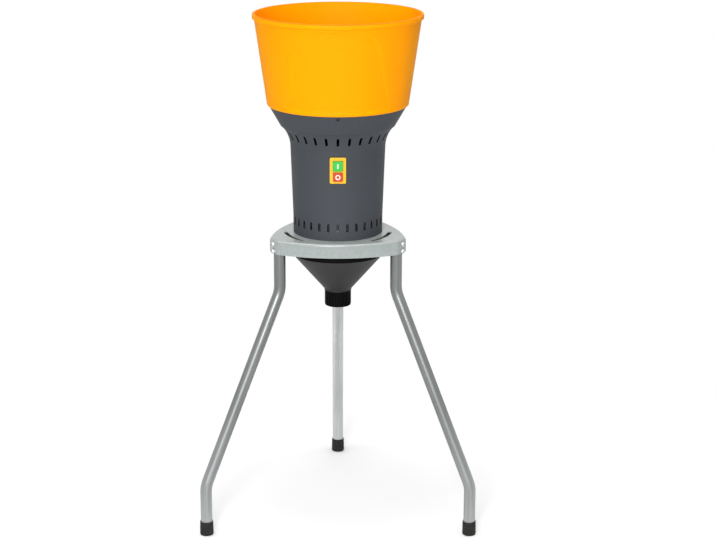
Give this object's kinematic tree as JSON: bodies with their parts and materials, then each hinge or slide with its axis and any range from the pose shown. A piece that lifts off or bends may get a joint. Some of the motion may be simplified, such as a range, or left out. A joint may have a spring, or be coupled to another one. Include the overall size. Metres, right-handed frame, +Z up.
{
  "type": "electric grain mill",
  "caption": "Tripod-mounted electric grain mill with an open round hopper, a motor housing with vent slots, a push-button switch, and a funnel outlet below a pressed support plate.",
  "frame": {"origin": "on the floor, on the vertical axis of the mill and its motor", "axes": "+Z up along the motor's axis, -Y out of the front with the switch, +X to the right seen from the front; legs at 90, 210 and 330 degrees"},
  "size_m": [0.594, 0.5197, 1.0999],
  "materials": {
    "galvanised_tube": "galvanised, bright streaks along the tube",
    "foot_rubber": "matt moulded rubber",
    "plate_paint": "light grey powder coat",
    "zinc_screw": "zinc plated",
    "black_screw": "blackened steel",
    "black_plastic": "moulded black plastic",
    "sieve_steel": "bright perforated sheet",
    "funnel_plastic": "dark grey moulded plastic",
    "housing_plastic": "grey moulded plastic",
    "hopper_plastic": "amber translucent plastic, satin gloss",
    "switch_yellow": "yellow moulded plastic",
    "button_green": "green moulded plastic",
    "button_red": "red moulded plastic",
    "switch_black": "black switch case",
    "cast_aluminium": "as cast",
    "sheet_aluminium": "drawn tube",
    "sheet_steel": "rolled sheet",
    "core_steel": "stacked laminations",
    "copper_wire": "enamelled copper winding",
    "shaft_steel": "ground steel",
    "bearing_steel": "polished bearing steel",
    "seal_rubber": "nitrile rubber",
    "capacitor_can": "plastic can",
    "terminal_plastic": "moulded block",
    "blade_steel": "ground tool steel"
  },
  "bodies": {
    "root": {"leg_left": "galvanised_tube", "leg_right": "galvanised_tube", "leg_rear": "galvanised_tube", "foot_left": "foot_rubber", "foot_right": "foot_rubber", "foot_rear": "foot_rubber", "support_plate": "plate_paint", "leg_bolts": "zinc_screw", "leg_nuts": "zinc_screw", "chamber_ring": "black_plastic", "tie_studs": "zinc_screw", "stud_nuts": "zinc_screw", "sieve_clamps": "zinc_screw", "sieve": "sieve_steel", "funnel": "funnel_plastic", "funnel_screws": "black_plastic", "outlet_collar": "black_plastic", "housing": "housing_plastic", "cable_gland": "black_plastic", "gland_locknut": "black_plastic", "hopper": "hopper_plastic", "hopper_screws": "black_screw", "feed_chute": "sheet_steel", "shutter_pivot": "zinc_screw", "switch_plate": "switch_yellow", "switch_box": "switch_black", "motor_base": "cast_aluminium", "motor_casing": "sheet_aluminium", "motor_cap": "cast_aluminium", "motor_bolts": "zinc_screw", "stator_core": "core_steel", "stator_windings": "copper_wire", "bearing_outer_rings": "bearing_steel", "shaft_seal": "seal_rubber", "run_capacitor": "capacitor_can", "capacitor_clamp": "sheet_steel", "terminal_block": "terminal_plastic"},
    "rotor": {"rotor_core": "core_steel", "motor_shaft": "shaft_steel", "bearing_inner_rings": "bearing_steel", "bearing_balls": "bearing_steel", "cooling_fan": "black_plastic", "fan_nut": "zinc_screw", "lower_blade": "blade_steel", "upper_blade": "blade_steel", "blade_spacer": "shaft_steel", "blade_washer": "zinc_screw", "blade_nut": "zinc_screw"},
    "start_button": {"start_button": "button_green"},
    "stop_button": {"stop_button": "button_red"},
    "shutter": {"feed_shutter": "sheet_steel", "shutter_knob": "black_plastic"}
  },
  "joints": [
    {"name": "rotor_spin", "type": "hinge", "parent": "root", "child": "rotor", "pos_m": [0, 0, 0.7], "axis": [0, 0, 1], "continuous": true},
    {"name": "start_press", "type": "slide", "parent": "root", "child": "start_button", "axis": [0, 1, 0], "range_m": [0, 0.0025], "stiffness_N_per_m": 600},
    {"name": "stop_press", "type": "slide", "parent": "root", "child": "stop_button", "axis": [0, 1, 0], "range_m": [0, 0.0025], "stiffness_N_per_m": 600},
    {"name": "shutter_turn", "type": "hinge", "parent": "root", "child": "shutter", "pos_m": [0, 0, 0.866], "axis": [0, 0, 1], "range_deg": [0, 40]}
  ]
}
